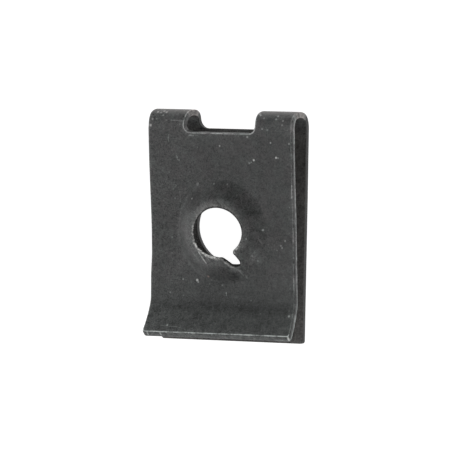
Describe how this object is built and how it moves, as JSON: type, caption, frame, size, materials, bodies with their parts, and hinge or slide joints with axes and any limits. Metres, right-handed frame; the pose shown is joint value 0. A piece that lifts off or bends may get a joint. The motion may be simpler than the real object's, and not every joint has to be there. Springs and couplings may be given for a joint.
{
  "type": "u clip speed nut",
  "caption": "Folded spring-steel clip with a helical sheet-metal thread in one leg and a clearance hole in the other; it slides over a panel edge and takes a tapping screw",
  "frame": {"origin": "On the axis of the threaded hole, level with the outer face of the leg around it, which is 1.97 mm above the face that the clip lies on.", "axes": "X across the width, +Y towards the folded end, +Z from the plain leg to the threaded leg, the way the screw comes out."},
  "size_m": [0.0131, 0.0176, 0.0033],
  "materials": {
    "phosphated_steel": "matt black phosphate, rubbed lighter at the cut edges"
  },
  "bodies": {
    "root": {"clip_body": "phosphated_steel"}
  },
  "joints": []
}
